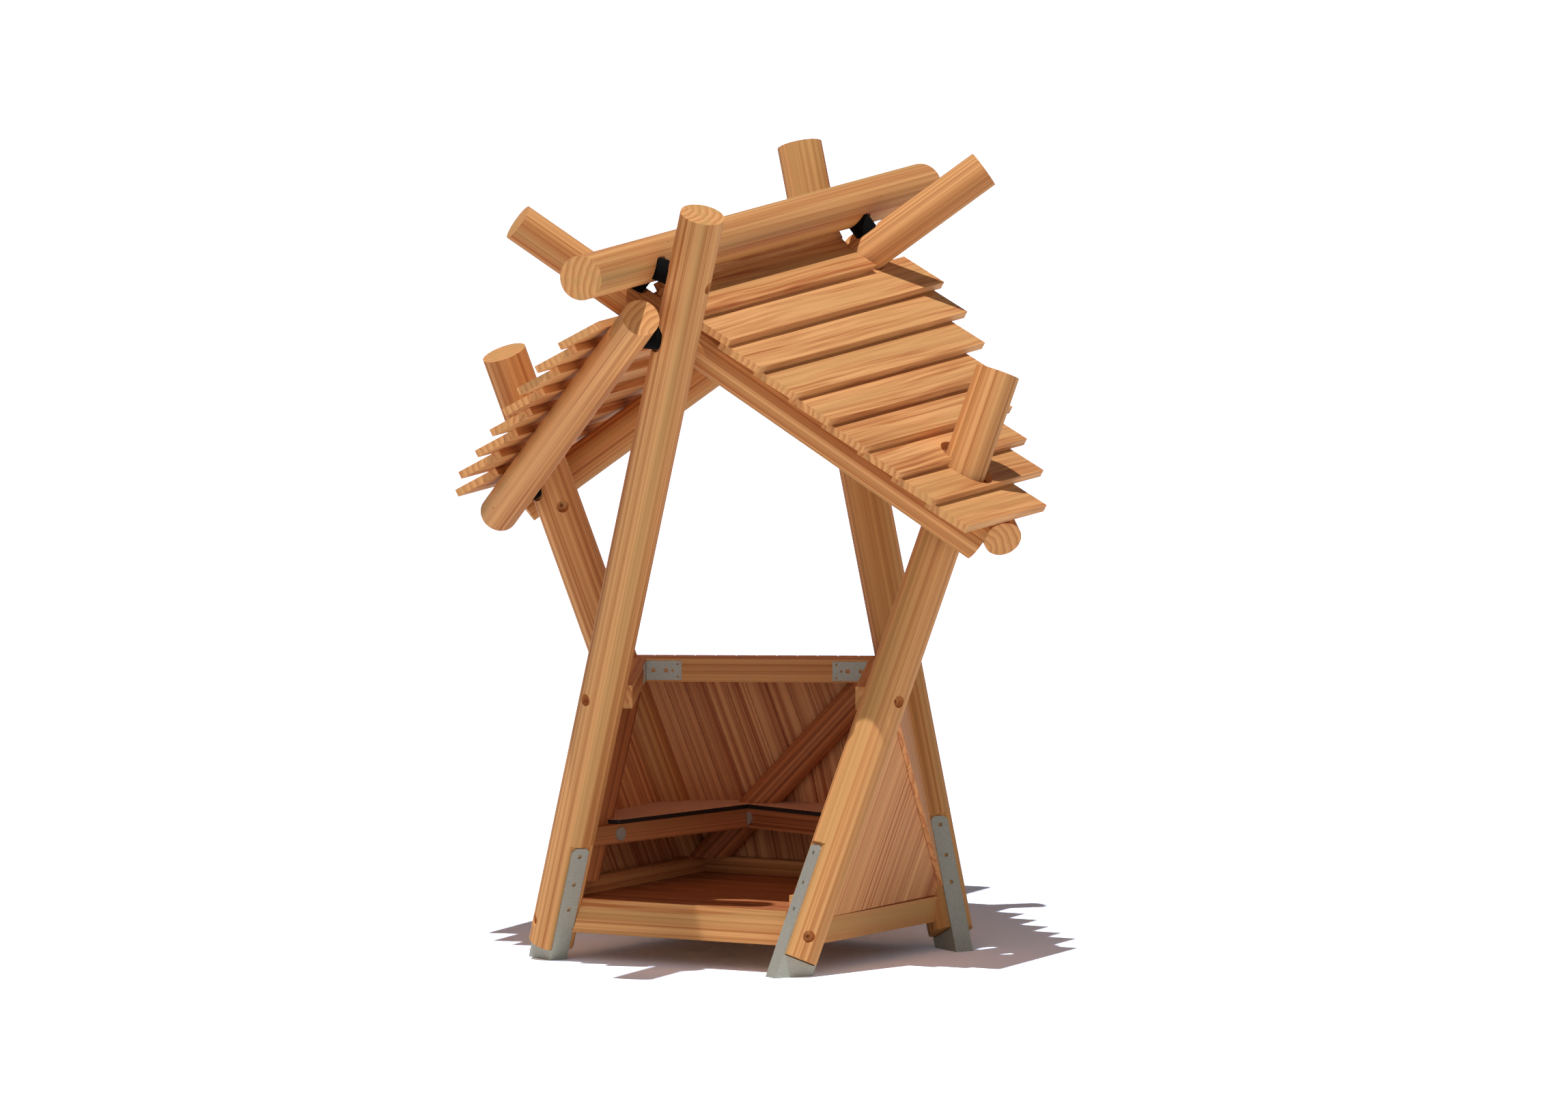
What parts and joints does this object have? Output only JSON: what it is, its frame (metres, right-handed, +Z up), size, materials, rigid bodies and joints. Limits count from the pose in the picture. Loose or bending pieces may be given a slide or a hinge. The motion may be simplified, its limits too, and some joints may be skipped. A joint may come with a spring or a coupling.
{
  "type": "garden playhouse",
  "caption": "Garden playhouse on leaning round logs, with a lapped-board gable roof, low plank walls folded along diagonal braces, a boarded floor and a corner bench.",
  "frame": {"origin": "on the ground at the centre of the square of the leg feet", "axes": "+X along the open front from the left foot to the right foot, +Y towards the back, +Z up"},
  "size_m": [2.0194, 2.7385, 2.4462],
  "materials": {
    "larch_log": "planed, oiled",
    "larch_roof_boards": "planed, oiled",
    "larch_wall_planks": "planed, oiled",
    "larch_floor_boards": "planed, oiled",
    "larch_timber": "planed, oiled",
    "galvanised_steel": "dull spangled zinc",
    "black_rubber": "matt",
    "seat_laminate": "matt, dark core"
  },
  "bodies": {
    "root": {"leg_front_left": "larch_log", "leg_front_right": "larch_log", "leg_back_right": "larch_log", "leg_back_left": "larch_log", "foot_front_left": "galvanised_steel", "foot_front_right": "galvanised_steel", "foot_back_right": "galvanised_steel", "foot_back_left": "galvanised_steel", "ridge_log": "larch_log", "long_rafter_right": "larch_log", "long_rafter_left": "larch_log", "short_rafter_right": "larch_log", "short_rafter_left": "larch_log", "log_spacers": "black_rubber", "roof_boards_right": "larch_roof_boards", "roof_boards_left": "larch_roof_boards", "floor_beams": "larch_timber", "floor_boards": "larch_floor_boards", "skirting": "larch_timber", "rail_left": "larch_timber", "rail_back": "larch_timber", "rail_right": "larch_timber", "rail_brackets": "galvanised_steel", "wall_left_lower": "larch_wall_planks", "wall_left_upper": "larch_wall_planks", "wall_back_lower": "larch_wall_planks", "wall_back_upper": "larch_wall_planks", "wall_right_lower": "larch_wall_planks", "wall_right_upper": "larch_wall_planks", "brace_left": "larch_timber", "brace_back": "larch_timber", "brace_right": "larch_timber", "bench_seat": "seat_laminate", "bench_apron_left": "larch_timber", "bench_apron_right": "larch_timber", "bench_discs": "galvanised_steel"}
  },
  "joints": []
}
